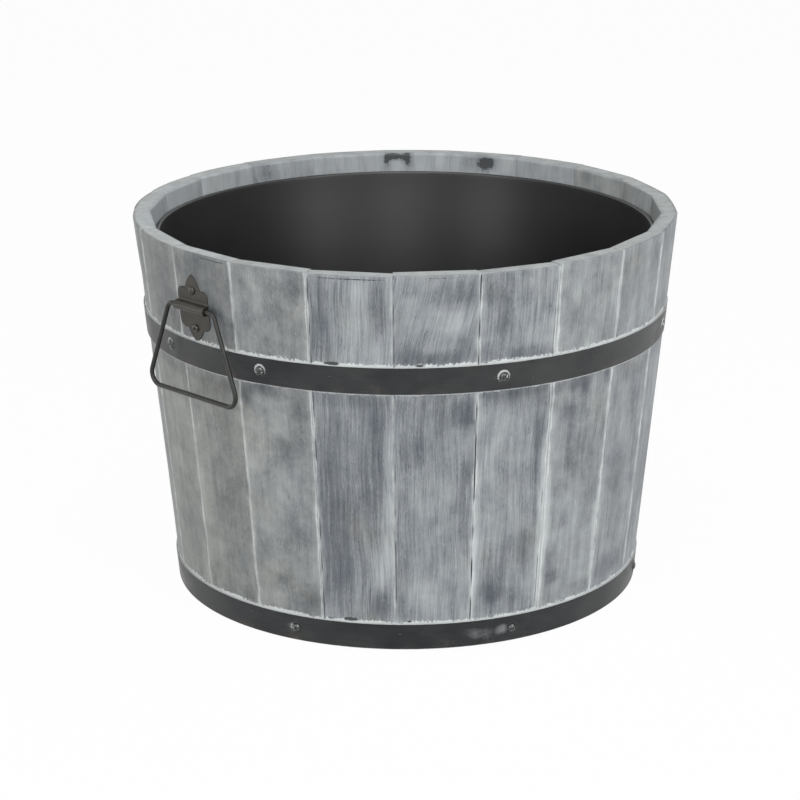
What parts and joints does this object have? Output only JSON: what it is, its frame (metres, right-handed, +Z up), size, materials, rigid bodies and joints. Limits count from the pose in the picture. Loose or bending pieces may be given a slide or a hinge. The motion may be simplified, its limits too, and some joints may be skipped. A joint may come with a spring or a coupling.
{
  "type": "barrel planter",
  "caption": "Tapered half-barrel planter of flat staves in two steel hoops, with a plank base, lift-out liner and drop wire handles.",
  "frame": {"origin": "centre of the barrel on the floor", "axes": "+Z up along the barrel's axis, handles at -X and +X, -Y towards the middle of the front stave"},
  "size_m": [0.4886, 0.4771, 0.3372],
  "materials": {
    "painted_wood": "dark stain under brushed whitewash, satin",
    "base_wood": "plain sawn boards",
    "hoop_steel": "graphite paint, satin, rubbed at the edges",
    "screw_steel": "blackened, with traces of whitewash",
    "handle_iron": "dark bronze-brown, satin",
    "liner_plastic": "moulded charcoal, satin"
  },
  "bodies": {
    "barrel": {"stave_01": "painted_wood", "stave_02": "painted_wood", "stave_03": "painted_wood", "stave_04": "painted_wood", "stave_05": "painted_wood", "stave_06": "painted_wood", "stave_07": "painted_wood", "stave_08": "painted_wood", "stave_09": "painted_wood", "stave_10": "painted_wood", "stave_11": "painted_wood", "stave_12": "painted_wood", "stave_13": "painted_wood", "stave_14": "painted_wood", "stave_15": "painted_wood", "stave_16": "painted_wood", "stave_17": "painted_wood", "stave_18": "painted_wood", "stave_19": "painted_wood", "stave_20": "painted_wood", "stave_21": "painted_wood", "base_board_1": "base_wood", "base_board_2": "base_wood", "base_board_3": "base_wood", "base_board_4": "base_wood", "base_board_5": "base_wood", "upper_hoop": "hoop_steel", "lower_hoop": "hoop_steel", "upper_hoop_rivet_1": "hoop_steel", "upper_hoop_rivet_2": "hoop_steel", "lower_hoop_rivet_1": "hoop_steel", "lower_hoop_rivet_2": "hoop_steel", "upper_hoop_screw_1": "screw_steel", "upper_hoop_screw_2": "screw_steel", "upper_hoop_screw_3": "screw_steel", "upper_hoop_screw_4": "screw_steel", "upper_hoop_screw_5": "screw_steel", "upper_hoop_screw_6": "screw_steel", "upper_hoop_screw_7": "screw_steel", "upper_hoop_screw_8": "screw_steel", "lower_hoop_screw_1": "screw_steel", "lower_hoop_screw_2": "screw_steel", "lower_hoop_screw_3": "screw_steel", "lower_hoop_screw_4": "screw_steel", "lower_hoop_screw_5": "screw_steel", "lower_hoop_screw_6": "screw_steel", "lower_hoop_screw_7": "screw_steel", "left_handle_plate": "handle_iron", "right_handle_plate": "handle_iron", "left_plate_upper_screw": "screw_steel", "left_plate_lower_screw": "screw_steel", "right_plate_upper_screw": "screw_steel", "right_plate_lower_screw": "screw_steel"},
    "liner": {"liner": "liner_plastic"},
    "left_bail": {"left_bail": "handle_iron"},
    "right_bail": {"right_bail": "handle_iron"}
  },
  "joints": [
    {"name": "liner_lift", "type": "slide", "parent": "barrel", "child": "liner", "axis": [0, 0, 1], "range_m": [0, 0.32]},
    {"name": "left_bail_swing", "type": "hinge", "parent": "barrel", "child": "left_bail", "pos_m": [-0.23822, -0.00482, 0.28654], "axis": [-0.0747, 0.9972, 0], "range_deg": [-5, 172]},
    {"name": "right_bail_swing", "type": "hinge", "parent": "barrel", "child": "right_bail", "pos_m": [0.23822, -0.00482, 0.28654], "axis": [-0.0747, -0.9972, 0], "range_deg": [-5, 172]}
  ]
}
